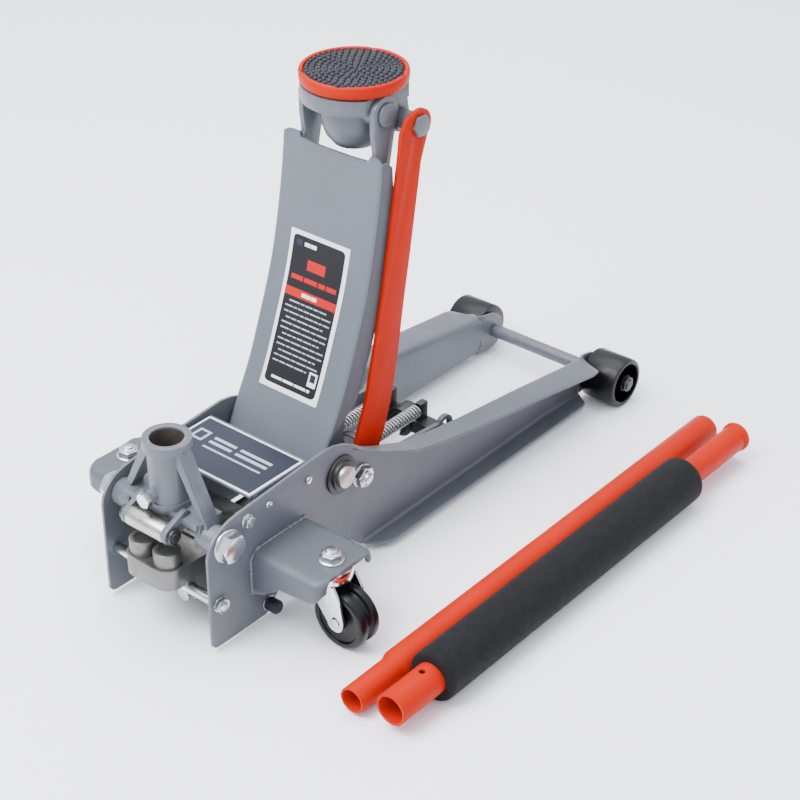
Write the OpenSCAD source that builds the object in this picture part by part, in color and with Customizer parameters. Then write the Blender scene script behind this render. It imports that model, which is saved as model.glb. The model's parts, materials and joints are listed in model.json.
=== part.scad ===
// Hydraulic floor jack, three tonne low-profile type, with a two-piece handle laid beside it.
// X runs forward to the front rollers, Y to the left, Z up. The floor is z = 0.

/* [Frame] */
// Outer face of each side plate, from the middle plane
web_y = 74; // [72:0.5:76]
// Sheet thickness of the side plates
web_t = 3; // [2.5:0.1:3]
// Front axle, distance from the rear edge of the frame
axle_x = 640; // [636:1:650]
// Top of the caster wings
wing_z = 90.65; // [89:0.25:92]

/* [Wheels] */
// Radius of the front rollers
roller_r = 29.4; // [27:0.1:31]
// Width of the front rollers
roller_w = 47; // [40:1:50]
// Radius of the caster wheels
caster_r = 32; // [29:0.5:32]
// Distance of the caster wheel behind its swivel
caster_trail = 19; // [16:1:24]

/* [Lifting arm] */
// Length of the arm between its two pivots
arm_len = 366.8; // [366:0.1:367.5]
// Angle of the raised arm above the floor
arm_ang = 73.7; // [73.5:0.1:73.9]
// Half width of the arm cover
cover_w = 61.4; // [55:0.2:61.6]
// The same on the left, where no link runs beside it
cover_l = 69; // [61:0.2:69.2]
// Crank radius of the arm
crank_r = 50; // [48:1:50]

/* [Saddle] */
// Outer radius of the saddle ring
saddle_r = 54.6; // [50:0.2:56]
// Height of the saddle rim at full lift
saddle_top = 499; // [498:0.5:502]
// Radius of the rubber pad
pad_r = 49.4; // [44:0.2:49.6]

/* [Handle] */
// Radius of the socket bore
socket_r = 17.25; // [17.2:0.05:17.4]
// Radius of the handle tubes
tube_r = 17; // [16:0.1:17]
// Radius of the foam grip
foam_r = 26.8; // [24:0.2:27.2]

/* [Hidden] */
$fn = 64;

// origin: middle of the whole set's footprint, on the floor
org = [326.7, -71.7];

// pivots in the XZ plane
A = [191, 114];
C = [222, 97];
ua = [cos(arm_ang), sin(arm_ang)];
na = [sin(arm_ang), -cos(arm_ang)];
B = A + arm_len * ua;
D = B + (C - A);
function P(s, d) = A + s * ua + d * na;
crank = A + crank_r * [cos(-49), sin(-49)];
xh = [385, 56];                       // crosshead pin, raised
yoke = [25.3, 118];
rol = [-3.2, 124.4];                  // roller axis
cyl_z = 56;
stem_y = 142; stem_x = 100;
web_i = web_y - web_t;
sd = [304, 0];                        // saddle centre

module o() { translate([-org[0], -org[1], 0]) children(); }
// plate in the XZ plane from y0 to y0 + t
module yp(y0, t) { translate([0, y0 + t, 0]) rotate([90, 0, 0]) linear_extrude(t) children(); }
module yc(r, y0, y1, p, f = 64) { translate([p[0], y0, p[1]]) rotate([-90, 0, 0]) cylinder(r = r, h = y1 - y0, $fn = f); }
module xc(r, x0, x1, y, z, f = 64) { translate([x0, y, z]) rotate([0, 90, 0]) cylinder(r = r, h = x1 - x0, $fn = f); }
module zc(r, z0, z1, x, y, f = 64) { translate([x, y, z0]) cylinder(r = r, h = z1 - z0, $fn = f); }
module box(x0, x1, y0, y1, z0, z1) { translate([x0, y0, z0]) cube([x1 - x0, y1 - y0, z1 - z0]); }
// straight bar with round ends of two radii, in its own plane
module bar(p, r, q, s) {
    l = norm(q - p); a = atan2(q[1] - p[1], q[0] - p[0]); b = acos((r - s) / l);
    translate(p) circle(r);
    translate(q) circle(s);
    polygon([p + r * [cos(a + b), sin(a + b)], p + r * [cos(a - b), sin(a - b)],
             q + s * [cos(a - b), sin(a - b)], q + s * [cos(a + b), sin(a + b)]]);
}
module both() { children(); mirror([0, 1, 0]) children(); }
module side(s) { if (s > 0) children(); else mirror([0, 1, 0]) children(); }
// band of even thickness under a line of points
function band(t, d) = concat(t, [for (i = [len(t) - 1:-1:0]) t[i] - d]);
// helical spring along Z as stacked rings joined by a back rod
module coil(r, w, h, n) {
    for (i = [0:n - 1]) translate([0, 0, w + i * (h - 2 * w) / (n - 1)])
        rotate_extrude($fn = 32) translate([r - w, 0]) circle(w, $fn = 13);
    translate([r - w, 0, w]) cylinder(r = w * 0.7, h = h - 2 * w, $fn = 16);
}

// ---------- frame ----------
top_line = [[207, 141.5], [222, 133], [240, 124.5], [261, 116], [286, 106], [336, 96], [379, 89], [497, 74], [580, 62], [614, 58]];
module web2d() polygon(concat(
    [[0, 9], [3, 5.5], [8, 4], [76, 4], [82, 8], [96, 24], [205, 24], [223, 8], [640, 8], [650, 12], [656, 20], [657, 30], [654, 41], [648, 49], [638, 54], [626, 56.5]],
    [for (i = [len(top_line) - 1:-1:0]) top_line[i]],
    [[196, 147], [185, 150.6], [170, 153], [132, 150.6], [74, 146.5], [46, 144.5], [30, 142], [18, 138], [8, 130], [2, 120], [0, 112]]));
module side_plate(s) {
    color([0.45, 0.47, 0.5]) o() side(s) {
        difference() {
            union() {
                yp(web_i, web_t) web2d();
                // upper flange, bent outwards and widening to the front
                intersection() {
                    yp(web_i, 45) polygon(band(top_line, [0.9, 3]));
                    linear_extrude(200) polygon([[200, web_i], [211, 76], [222, 86], [240, 93], [262, 97], [300, 100], [400, 104], [500, 108], [596, 112], [602, 110], [613, 76], [613, web_i]]);
                }
                // lower flange
                translate([0, 0, 8]) linear_extrude(3) polygon([[224, web_i], [230, 84], [242, 94], [252, 97], [592, 97], [600, 94], [611, web_i]]);
            }
            yc(12, web_i - 1, web_y + 1, A);
            if (s < 0) yc(8, web_i - 1, web_y + 1, C);
            yc(9, web_i - 1, web_y + 1, yoke);
            yc(5, web_i - 1, web_y + 1, [12.5, 54.5]);
            yc(6, web_i - 1, web_y + 1, [axle_x, 29.4]);
            yc(4, web_i - 1, web_y + 1, [55, 130]);
            yc(2.5, web_i - 1, web_y + 1, [85, 133]);
            yc(2.5, web_i - 1, web_y + 1, [143, 132]);
        }
    }
}
module side_plate_left() side_plate(1);
module side_plate_right() side_plate(-1);

module wing(s) {
    color([0.52, 0.55, 0.6]) o() side(s) difference() {
        union() {
            translate([0, 0, wing_z - 4]) linear_extrude(4) polygon([[56.6, web_y], [56.6, 152], [60, 159], [68, 162], [128, 162], [137, 158], [141.5, 150], [141.5, web_y]]);
            // turned-down rear edge, deeper towards the web
            translate([60.6, 0, 0]) rotate([0, -90, 0]) linear_extrude(4) polygon([[wing_z - 2, web_y], [41, web_y], [47, 90], [63.5, 112], [66, 150], [70, 158], [wing_z - 2, 160]]);
            translate([141.5, 0, 0]) rotate([0, -90, 0]) linear_extrude(4) polygon([[wing_z - 2, web_y], [66, web_y], [78, 100], [81, 150], [wing_z - 2, 158]]);
        }
        zc(6, wing_z - 5, wing_z + 1, stem_x, stem_y);
    }
}
module caster_wing_left() wing(1);
module caster_wing_right() wing(-1);

module caster_stems() color([0.78, 0.79, 0.8]) o() both() {
    zc(6, 67, wing_z + 12.5, stem_x, stem_y);
    zc(10, 67, 70.4, stem_x, stem_y);
    zc(13, wing_z, wing_z + 1.6, stem_x, stem_y);
    translate([stem_x, stem_y, wing_z + 1.6]) cylinder(r = 11, h = 8.6, $fn = 6);
}
module front_axle() color([0.6, 0.61, 0.62]) o() yc(6, -129, 129, [axle_x, 29.4]);
module axle_clips() color([0.25, 0.25, 0.27]) o() both() {
    difference() { yc(9, 125.2, 127.4, [axle_x, 29.4]); yc(6, 124, 128, [axle_x, 29.4]); }
    difference() { yc(10, web_y, web_y + 2.2, [axle_x, 29.4]); yc(6, web_y - 1, web_y + 3, [axle_x, 29.4]); }
}
module front_spacer_tube() color([0.5, 0.52, 0.55]) o() difference() { yc(8, -web_i, web_i, [axle_x, 29.4]); yc(6, -web_i - 1, web_i + 1, [axle_x, 29.4]); }
module rear_tie_rod() color([0.8, 0.8, 0.82]) o() { yc(6, -web_i, web_i, [12.5, 54.5]); both() yc(5, web_i, web_y + 7, [12.5, 54.5]); }
module hexy(af, y0, y1, p) { translate([p[0], y0, p[1]]) rotate([-90, 0, 0]) cylinder(r = af / sqrt(3), h = y1 - y0, $fn = 6); }
module frame_fasteners() color([0.8, 0.8, 0.8]) o() both() {
    difference() { union() { hexy(15, web_y + 1.4, web_y + 6.4, [12.5, 54.5]); yc(8.5, web_y, web_y + 1.4, [12.5, 54.5]); } yc(5, web_y - 1, web_y + 8, [12.5, 54.5]); }
    yc(4, 60, web_y, [55, 130]); yc(8, web_y, web_y + 1, [55, 130]); hexy(11.5, web_y + 1, web_y + 6, [55, 130]);
    for (x = [85, 143]) { yc(2.5, 66.3, web_y, [x, x == 85 ? 133 : 132]); yc(4.2, web_y, web_y + 2.2, [x, x == 85 ? 133 : 132]); }
    // washer behind each rubber stop, low on the web
    yc(8.4, web_y, web_y + 2, [79, 17]);
}
module web_stops() color([0.08, 0.08, 0.09]) o() both() { yc(7.4, web_y + 2, web_y + 14, [79, 17]); yc(6.2, web_y + 14, web_y + 15.4, [79, 17]); }
module top_cover_plate() color([0.5, 0.52, 0.55]) o() difference() {
    union() {
        box(68, 150, -66, 66, 145, 147.4);
        both() yp(63.9, 2.4) polygon([[72, 126], [152, 126], [156, 131], [150, 147], [72, 147]]);
    }
    both() { yc(2.5, 60, 70, [85, 133]); yc(2.5, 60, 70, [143, 132]); yc(4, 58, 70, [55, 130]); }
}
module name_plate() color([0.2, 0.21, 0.3]) o() box(69, 147, -65, 65, 147.4, 148.2);
module main_shaft() color([0.75, 0.72, 0.66]) o() yc(12, -84.5, 84.5, A);
module shaft_spacers() color([0.35, 0.36, 0.38]) o() both() {
    difference() { yc(13.8, 49.4, web_i, A); yc(12, 49, web_i + 1, A); }
    difference() { union() { yc(21.5, web_y, web_y + 3, A); yc(16.5, web_y + 3, web_y + 6.5, A); } yc(12, web_y - 1, web_y + 8, A); }
}
module link_pivot_bolt() color([0.8, 0.8, 0.82]) o() mirror([0, 1, 0]) {
    yc(8, 58.6, web_y, C);
    yc(11, 58.6, 61.6, C);
    yc(13, web_y, web_y + 2, C);
    hexy(21, web_y + 2, web_y + 11, C);
    yc(6.5, web_y + 11, web_y + 13, C);
}
module yoke_pivot_bolts() color([0.78, 0.8, 0.82]) o() both() {
    yc(9, 52, web_y, yoke);
    yc(17.5, web_y, web_y + 2.6, yoke);
    hexy(27, web_y + 2.6, web_y + 13.5, yoke);
}
module pump_block() color([0.72, 0.7, 0.66]) o() difference() {
    union() {
        // head with two round lobes for the plungers
        translate([0, 0, 61]) linear_extrude(23) { bar([1, 16.5], 17, [1, -16.5], 17); polygon([[1, -33.5], [44, -36], [44, 36], [1, 33.5]]); }
        box(44, 112, -38, 38, 30, 88);
        box(24, 46, -30, 30, 30, 74);
    }
    both() zc(14.05, 63, 85, 1, 16.5);
    both() zc(5.5, 60, 85, 1, 16.5);
    zc(5, 80, 89, 70, 20);
    xc(5, 20, 60, -22, 40);
    xc(23, 104, 113, 0, cyl_z);
}
module reservoir_tube() color([0.2, 0.2, 0.22]) o() difference() {
    xc(23, 104, 290, 0, cyl_z);
    xc(17, 112, 291, 0, cyl_z);
}
module cylinder_gland() color([0.3, 0.3, 0.32]) o() difference() {
    union() { xc(23.6, 290, 300, 0, cyl_z); xc(17, 284, 290, 0, cyl_z); }
    xc(11.06, 283, 301, 0, cyl_z);
}
module filler_plug() color([0.1, 0.1, 0.1]) o() { zc(5, 80, 88, 70, 20); zc(8, 88, 93, 70, 20); }
module release_valve() color([0.7, 0.7, 0.72]) o() { xc(4.95, 20, 56, -22, 40); xc(7.4, 13, 22, -22, 40); }

// ---------- lifting arm ----------
cover_line = [[273, 423], [268, 384], [259, 335], [247, 287], [229, 237], [209, 188], [190, 152], [174, 119], [168, 103]];
arm_outline = concat(
    [P(30, 26), P(80, 27), P(128, 28), P(200, 27), P(290, 23), P(340, 19.5)],
    [for (t = [180:-12:0]) P(arm_len + 18.5 * sin(t), -18.5 * cos(t))],
    [P(345, -12), P(326, -3.5)],
    [for (c = cover_line) c + 3.15 * na],
    [for (t = [215, 229]) A + 22 * [cos(t), sin(t)]],
    [for (t = [-130:9:32]) crank + 15 * [cos(t), sin(t)]]);
module arm_plate(s) color([0.55, 0.57, 0.61]) o() side(s) yp(43, 6) difference() {
    polygon(arm_outline);
    translate(A) circle(12.05);
    translate(B) circle(9.05);
    translate(crank) circle(8);
}
module arm_side_plate_left() arm_plate(1);
module arm_side_plate_right() arm_plate(-1);
flange_deep = [22, 24, 26, 28, 29, 28, 4];
// top edge as seen from behind: two ears beside a shallow dip
cover_top = concat(
    [for (a = [180:-15:90]) [10 - cover_w, 418] + 10 * [cos(a), sin(a)]],
    [[-46.5, 428], [-43, 422.4], [-20, 421.2], [20, 421.2], [43, 422.4], [46.5, 428]],
    [for (a = [90:-15:0]) [cover_l - 11, 417] + 11 * [cos(a), sin(a)]],
    [[75, 417], [75, 445], [-70, 445], [-70, 418]]);
module arm_cover() color([0.61, 0.64, 0.68]) o() difference() {
    union() {
        yp(-cover_w, cover_w + cover_l) polygon(concat([[273.64, 428]], cover_line, [for (i = [len(cover_line) - 1:-1:0]) cover_line[i] + 3 * na], [[273.64, 428] + 3 * na]));
        for (y = [-cover_w, cover_l - 3]) yp(y, 3) polygon(concat([for (i = [0:6]) cover_line[i] + 1 * na], [[184, 140] + 3 * na], [for (i = [6:-1:1]) cover_line[i] + flange_deep[i] * na], [cover_line[0] + 16 * na - [3, 12]]));
    }
    translate([255, 0, 0]) rotate([90, 0, 90]) linear_extrude(40) polygon(cover_top);
}
label_line = [[257.6, 329.3], [247, 287], [229, 237], [209, 188], [200.5, 171.8]];
module arm_label() color([0.15, 0.18, 0.3]) o() yp(-33.5, 78.5) polygon(concat([for (p = label_line) p - 0.5 * na], [for (i = [len(label_line) - 1:-1:0]) label_line[i] - 0.06 * na]));
module arm_cross_tubes() color([0.4, 0.42, 0.45]) o() {
    difference() { yc(14.3, -43, 43, A); yc(12.05, -44, 44, A); }
    yc(6, -43, 43, P(92, 7.3));
    yc(9, -43, 43, P(300, 12));
}
module crank_pins() color([0.7, 0.7, 0.72]) o() both() { yc(8, 40, 58, crank); yc(11, 56.4, 58, crank); }

// ---------- saddle ----------
seat_z = 469;
module saddle_bracket() color([0.48, 0.5, 0.53]) o() difference() {
    union() {
        intersection() { zc(53.5, seat_z, 484.6, sd[0], 0); box(200, 400, -42.4, 42.4, 400, 500); }
        // bowl-shaped hub
        translate([sd[0], 0, 0]) rotate_extrude() polygon([[0, 417], [12, 417.6], [22, 422], [29, 431], [33, 442], [34, 454], [34, seat_z + 1], [0, seat_z + 1]]);
        both() yp(30, 12.4) { bar(B, 14, D, 13); polygon([B + [-14, 0], D + [-4, -12], D + [13, 0], [334, seat_z + 2], B + [-14, 4]]); }
    }
    both() yc(9, 20, 60, B);
    both() yc(8, 20, 60, D);
    zc(8.05, 440, 486, sd[0], 0);
}
module saddle_pivot_pins() color([0.65, 0.65, 0.67]) o() both() { yc(9, 30, 50, B); yc(12, 49.4, 52, B); }
module link_top_bolt() color([0.8, 0.8, 0.82]) o() mirror([0, 1, 0]) {
    yc(8, 30, 66.3, D);
    yc(11, 42.4, 61.6, D);
    hexy(20, 66.3, 70.4, D);
}
module saddle_ring() color([0.9, 0.4, 0.25]) o() {
    difference() {
        union() {
            zc(saddle_r, saddle_top - 13.5, saddle_top, sd[0], 0);
            zc(7.99, 445, saddle_top - 13.5, sd[0], 0);
        }
        zc(49.6, saddle_top - 9, saddle_top + 1, sd[0], 0);
    }
}
module saddle_pad() color([0.25, 0.25, 0.28]) o() translate([sd[0], 0, saddle_top - 9]) {
    cylinder(r = pad_r, h = 8);
    for (k = [[12, 6], [24, 12], [36, 18]]) for (i = [0:k[1] - 1]) rotate([0, 0, i * 360 / k[1]]) translate([k[0], 0, 7.9]) cylinder(r1 = 3.2, r2 = 2.6, h = 2.1, $fn = 16);
    for (i = [0:23]) rotate([0, 0, i * 15]) translate([44.5, 0, 7.9]) cylinder(r1 = 2.6, r2 = 2, h = 2, $fn = 16);
}

// ---------- leveling link ----------
module leveling_link() color([0.85, 0.35, 0.2]) o() yp(-66, 4) difference() {
    union() {
        translate(C) circle(19);
        translate(D) circle(17);
        polygon([[297, 448], [294, 423], [278, 332], [268, 279], [256, 227], [243, 174], [231, 144], [226, 129], [207, 108.7], [235, 83], [248, 94], [261, 110], [269, 125], [280, 156], [292, 211], [301, 265], [311, 318], [327, 411], [337, 437], [342, 449], [330, 465.3], [318, 464.8], [306, 461]]);
    }
    translate(C) circle(8.05);
    translate(D) circle(8.3);
}

// ---------- handle yoke ----------
module handle_socket() color([0.58, 0.61, 0.65]) o() difference() {
    union() {
        zc(20.5, 140, 204, 26.5, 0);
        zc(24.5, 201, 210.5, 26.5, 0);
        zc(22, 134, 144, 26.5, 0);
        // pivot bosses
        both() yc(14.5, 46, 69.6, yoke);
        // foot plate between socket and bosses
        box(10, 44, -50, 50, 131, 137);
        both() yp(46, 6) polygon([[12, 118], [14, 137], [44, 137], [39, 118]]);
        // diagonal straps up to the collar
        both() translate([18, 0, 0]) rotate([90, 0, 90]) linear_extrude(17) polygon([[18, 192], [18, 203], [23, 203], [57, 133], [57, 122], [50, 122], [50, 133]]);
        // forks for the roller
        both() yp(25, 5.5) { bar([16, 136], 7, rol, 10); }
        xc(7.5, -1, 10, 3, 152);
    }
    zc(socket_r, 139, 212, 26.5, 0);
    zc(9, 128, 142, 26.5, 0);
    both() yc(9.05, 40, 75, yoke);
    both() yc(5, 20, 35, rol);
    xc(4, -3, 12, 3, 152);
}
module roller_pin() color([0.3, 0.3, 0.32]) o() { yc(5, -36, 36, rol); yc(8, 31, 35, rol); yc(8, -35, -31, rol); }
module yoke_roller() color([0.8, 0.8, 0.8]) o() difference() { yc(10.4, -24.6, 24.6, rol); yc(5.05, -26, 26, rol); }
module socket_set_bolt() color([0.85, 0.87, 0.88]) o() { xc(4, -2, 8.4, 3, 152); translate([-8.5, 3, 152]) rotate([0, 90, 0]) cylinder(r = 8.6, h = 7, $fn = 6); }

// ---------- pump ----------
// cup-shaped plunger cap over its spring
module plunger_body(s) color([0.75, 0.73, 0.7]) o() translate([1, s * 16.5, 0]) rotate_extrude() polygon([[0, 80], [5, 80], [5, 96.5], [11.6, 96.5], [11.6, 79], [14, 79], [14, 99], [13, 100], [8, 100], [8, 98.4], [0, 98.4]]);
module pump_plunger_left() plunger_body(1);
module pump_plunger_right() plunger_body(-1);
module plunger_spring(s) color([0.6, 0.6, 0.6]) o() translate([1, s * 16.5, 63.1]) coil(10.6, 1.2, 33.2, 8);
module plunger_spring_left() plunger_spring(1);
module plunger_spring_right() plunger_spring(-1);

// ---------- ram ----------
module ram_rod() color([0.85, 0.85, 0.86]) o() { xc(11, 262, xh[0] - 8, 0, cyl_z); xc(16.95, 262, 280, 0, cyl_z); }
module crosshead() color([0.3, 0.31, 0.33]) o() difference() {
    union() {
        xc(17, xh[0] - 12, xh[0] + 10, 0, cyl_z);
        box(xh[0] - 10, xh[0] + 10, -48.6, 48.6, 48.5, 63.5);
        both() yc(6, 48, 57.5, xh);
        both() box(xh[0] - 6, xh[0] + 6, 18, 26, 56, 86);
    }
    xc(11, xh[0] - 20, xh[0] - 8, 0, cyl_z);
}
module return_spring(s) color([0.75, 0.76, 0.78]) o() translate([150, s * 22, 78.6]) rotate([0, 90, 0]) coil(7.4, 1.5, xh[0] - 6.4 - 150, 34);
module return_spring_left() return_spring(1);
module return_spring_right() return_spring(-1);
// drawbar with a long eye at the crosshead
eye = [xh[0], 56 - 0];
module conbar(s) color([0.5, 0.51, 0.53]) o() side(s) yp(50.6, 5.4) difference() {
    union() { bar(crank, 14, [xh[0], 62], 13); bar([xh[0], 68.6], 13, [xh[0], 55.6], 13); }
    translate(crank) circle(8.05);
    bar([xh[0], 69], 7.6, [xh[0], 55.4], 7.6);
}
module connecting_bar_left() conbar(1);
module connecting_bar_right() conbar(-1);

// ---------- casters ----------
module fork(s) color([0.82, 0.83, 0.84]) o() translate([stem_x, s * stem_y, 0]) rotate([0, 0, -90]) difference() {
    union() {
        translate([0, 0, 71]) cylinder(r = 19, h = 3.5);
        translate([0, 0, 74]) cylinder(r = 22, h = 12.2);
        both() translate([0, 15.4, 0]) {
            translate([0, 2.6, 0]) rotate([90, 0, 0]) linear_extrude(2.6) { polygon([[-16, 74], [17, 74], [25, 60], [caster_trail + 10.4, 36], [caster_trail + 9, 28], [caster_trail - 9.6, 30], [-12, 58], [-16, 68]]); translate([caster_trail, caster_r]) circle(9.8); }
        }
        translate([-13, -18, 71]) cube([26, 36, 3.2]);
    }
    translate([0, 0, 60]) cylinder(r = 6.06, h = 40);
    translate([0, 0, 60]) cylinder(r = 10.4, h = 10.9);
    translate([caster_trail, 30, caster_r]) rotate([90, 0, 0]) cylinder(r = 4, h = 60);
}
module caster_fork_left() fork(1);
module caster_fork_right() fork(-1);
module caxle(s) color([0.75, 0.75, 0.76]) o() translate([stem_x, s * stem_y, 0]) rotate([0, 0, -90]) translate([caster_trail, 0, caster_r]) rotate([90, 0, 0]) {
    translate([0, 0, -18.8]) cylinder(r = 4, h = 37.6);
    translate([0, 0, 18]) cylinder(r = 5.8, h = 1.6);
    translate([0, 0, -19.6]) cylinder(r = 5.8, h = 1.6);
}
module caster_axle_left() caxle(1);
module caster_axle_right() caxle(-1);
module cwheel(s) color([0.1, 0.1, 0.11]) o() translate([stem_x, s * stem_y, 0]) rotate([0, 0, -90]) translate([caster_trail, 0, caster_r]) rotate([90, 0, 0])
    rotate_extrude($fn = 64) polygon([[4.05, -14.6], [9, -14.6], [9, -11], [24, -11], [25, -14], [29, -14], [caster_r - 0.6, -12.4], [caster_r, -10.6], [caster_r, -4.6], [28, -3.2], [28, 3.2], [caster_r, 4.6], [caster_r, 10.6], [caster_r - 0.6, 12.4], [29, 14], [25, 14], [24, 11], [9, 11], [9, 14.6], [4.05, 14.6]]);
module caster_wheel_left() cwheel(1);
module caster_wheel_right() cwheel(-1);

module fwheel(s) color([0.12, 0.12, 0.13]) o() side(s) translate([axle_x, 77, 29.4]) rotate([-90, 0, 0])
    rotate_extrude($fn = 96) polygon([[6.05, 0], [27.4, 0], [roller_r, 2], [roller_r, roller_w - 2.5], [27.2, roller_w], [22.5, roller_w], [21, roller_w - 2], [20, roller_w - 16], [11, roller_w - 16], [11, roller_w - 0.4], [6.05, roller_w - 0.4]]);
module front_wheel_left() fwheel(1);
module front_wheel_right() fwheel(-1);

// ---------- handle pieces on the floor ----------
up = [24, -280.6, 27]; lo = [19.5, -236.6, 17];
module handle_upper_tube() color([0.9, 0.35, 0.15]) o() translate(up) rotate([0, 90, 0]) difference() {
    rotate_extrude() polygon([[0, 0], [tube_r, 0], [tube_r, 110], [15.2, 118], [15.2, 594], [14.6, 598], [17, 601], [17, 605], [14, 606], [0, 606]]);
    translate([0, 0, -1]) cylinder(r = 14.4, h = 100);
    translate([-30, 0, 46]) rotate([0, 90, 0]) cylinder(r = 3.2, h = 30);
}
module handle_foam_grip() color([0.2, 0.2, 0.2]) o() translate(up) rotate([0, 90, 0]) difference() {
    translate([0, 0, 46 + 14]) rotate_extrude() polygon([[0, 0], [foam_r - 2, 0], [foam_r, 2.5], [foam_r, 432], [foam_r - 2, 435], [0, 435]]);
    translate([0, 0, 40]) cylinder(r = tube_r, h = 70);
    rotate_extrude() polygon([[0, 40], [tube_r, 40], [tube_r, 110], [15.2, 118], [15.2, 594], [0, 594]]);
}
module handle_lower_tube() color([0.9, 0.35, 0.15]) o() translate(lo) rotate([0, 90, 0]) difference() {
    rotate_extrude() polygon([[0, 0], [14, 0], [14, 58], [tube_r, 66], [tube_r, 612], [15.6, 616], [0, 617]]);
    translate([0, 0, -1]) cylinder(r = 11.5, h = 60);
}

side_plate_left();
side_plate_right();
caster_wing_left();
caster_wing_right();
caster_stems();
front_axle();
axle_clips();
front_spacer_tube();
rear_tie_rod();
frame_fasteners();
web_stops();
top_cover_plate();
name_plate();
main_shaft();
shaft_spacers();
link_pivot_bolt();
yoke_pivot_bolts();
pump_block();
reservoir_tube();
cylinder_gland();
filler_plug();
release_valve();
arm_side_plate_left();
arm_side_plate_right();
arm_cover();
arm_label();
arm_cross_tubes();
crank_pins();
saddle_bracket();
saddle_pivot_pins();
link_top_bolt();
saddle_ring();
saddle_pad();
leveling_link();
handle_socket();
roller_pin();
yoke_roller();
socket_set_bolt();
pump_plunger_left();
pump_plunger_right();
plunger_spring_left();
plunger_spring_right();
ram_rod();
crosshead();
return_spring_left();
return_spring_right();
connecting_bar_left();
connecting_bar_right();
caster_fork_left();
caster_fork_right();
caster_axle_left();
caster_axle_right();
caster_wheel_left();
caster_wheel_right();
front_wheel_left();
front_wheel_right();
handle_upper_tube();
handle_foam_grip();
handle_lower_tube();
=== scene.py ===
import bpy, bmesh, math, json, random
from mathutils import Vector, Matrix


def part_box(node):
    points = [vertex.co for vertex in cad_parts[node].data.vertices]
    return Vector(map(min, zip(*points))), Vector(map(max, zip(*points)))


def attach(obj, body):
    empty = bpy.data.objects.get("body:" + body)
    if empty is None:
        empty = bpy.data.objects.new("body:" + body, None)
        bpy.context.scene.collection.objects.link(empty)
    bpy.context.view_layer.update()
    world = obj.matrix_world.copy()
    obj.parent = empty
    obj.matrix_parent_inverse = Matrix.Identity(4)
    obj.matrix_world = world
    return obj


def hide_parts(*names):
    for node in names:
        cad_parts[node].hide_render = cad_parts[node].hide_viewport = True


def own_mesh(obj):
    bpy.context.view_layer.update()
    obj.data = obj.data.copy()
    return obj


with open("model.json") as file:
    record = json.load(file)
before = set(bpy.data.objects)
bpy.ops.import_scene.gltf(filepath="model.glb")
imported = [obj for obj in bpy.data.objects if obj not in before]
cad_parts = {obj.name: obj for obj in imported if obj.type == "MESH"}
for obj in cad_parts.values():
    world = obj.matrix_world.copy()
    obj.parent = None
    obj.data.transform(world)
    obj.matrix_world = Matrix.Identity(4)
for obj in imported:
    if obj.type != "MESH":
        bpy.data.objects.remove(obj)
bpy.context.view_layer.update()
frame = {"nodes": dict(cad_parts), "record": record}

N = frame["nodes"]
REC = frame["record"]
BODY_OF = {n: b for b, ns in REC["behaviour"]["bodies"].items() for n in ns}
SLOT_OF = {s["node"]: s["material_slot"] for s in REC["subparts"]}

# design coordinates: millimetres, X from the frame's rear edge, Y from its middle plane
_a, _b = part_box("main_shaft"); OX = (_a.x + _b.x) / 2 - 0.191
_a, _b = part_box("front_axle"); OY = (_a.y + _b.y) / 2


def W(x, y, z):
    return Vector((x / 1000 + OX, y / 1000 + OY, z / 1000))


def lerp(a, b, t):
    return a + (b - a) * t


def smoothstep(t):
    t = max(0.0, min(1.0, t))
    return t * t * (3 - 2 * t)


def interp(pts, x):
    """Piecewise linear y(x) through sorted points."""
    if x <= pts[0][0]:
        return pts[0][1]
    for (x0, y0), (x1, y1) in zip(pts, pts[1:]):
        if x <= x1:
            return lerp(y0, y1, (x - x0) / (x1 - x0))
    return pts[-1][1]


def spline(pts, n=8, closed=False):
    """Catmull-Rom through 2D or 3D points."""
    out = []
    m = len(pts)
    P = [Vector(p) for p in pts]
    rng = range(m) if closed else range(m - 1)
    for i in rng:
        p0 = P[(i - 1) % m] if closed or i > 0 else P[0] * 2 - P[1]
        p1 = P[i]
        p2 = P[(i + 1) % m]
        p3 = P[(i + 2) % m] if closed or i + 2 < m else P[-1] * 2 - P[-2]
        for k in range(n):
            t = k / n
            out.append(0.5 * ((2 * p1) + (p2 - p0) * t + (2 * p0 - 5 * p1 + 4 * p2 - p3) * t * t + (3 * p1 - p0 - 3 * p2 + p3) * t ** 3))
    if not closed:
        out.append(P[-1])
    return out


# ---------------------------------------------------------------- materials
def _link(nt, a, b):
    nt.links.new(a, b)


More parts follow.
